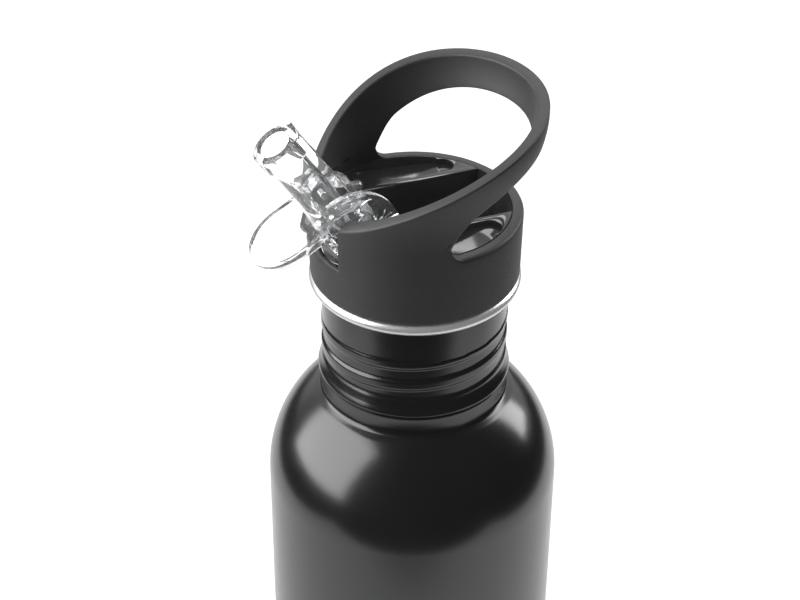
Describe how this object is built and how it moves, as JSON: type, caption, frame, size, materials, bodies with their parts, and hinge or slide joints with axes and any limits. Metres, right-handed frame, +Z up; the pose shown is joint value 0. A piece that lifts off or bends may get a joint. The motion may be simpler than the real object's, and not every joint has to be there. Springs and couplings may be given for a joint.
{
  "type": "water bottle",
  "caption": "Single-wall black steel water bottle with a bright rolled lip and a screw cap that has a carry loop and a clear flip-up drinking spout.",
  "frame": {"origin": "centre of the base, on the surface that the bottle stands on", "axes": "+Z up along the bottle, -Y towards the spout, +X to the right seen from the spout's side"},
  "size_m": [0.073, 0.0771, 0.267],
  "materials": {
    "black_paint": "semi-gloss",
    "bright_steel": "polished",
    "base_steel": "satin",
    "cap_matt": "matt",
    "core_gloss": "gloss",
    "silicone": "satin",
    "dark_silicone": "satin",
    "clear_plastic": "clear gloss",
    "straw_plastic": "milky gloss",
    "pin_steel": "drawn"
  },
  "bodies": {
    "bottle": {"bottle_shell": "black_paint", "rolled_lip": "bright_steel", "base_plate": "base_steel"},
    "cap_lift": {"cap_gasket": "silicone"},
    "cap": {"cap_shell": "cap_matt", "cap_core": "core_gloss", "hinge_pin_right": "pin_steel", "hinge_pin_left": "pin_steel", "spout_seal": "silicone", "straw": "straw_plastic", "vent_valve": "dark_silicone"},
    "spout": {"spout": "clear_plastic"}
  },
  "joints": [
    {"name": "cap_lift", "type": "slide", "parent": "bottle", "child": "cap_lift", "axis": [0, 0, 1], "range_m": [0, 0.00916]},
    {"name": "cap_turn", "type": "hinge", "parent": "cap_lift", "child": "cap", "pos_m": [0, 0, 0.22], "axis": [0, 0, 1], "range_deg": [0, 540]},
    {"name": "spout_fold", "type": "hinge", "parent": "cap", "child": "spout", "pos_m": [0, -0.0185, 0.24], "axis": [-1, 0, 0], "range_deg": [0, 122]}
  ],
  "couplings": [
    {"joint": "cap_lift", "follows": "cap_turn", "m_per_rad": 0.00097085}
  ]
}
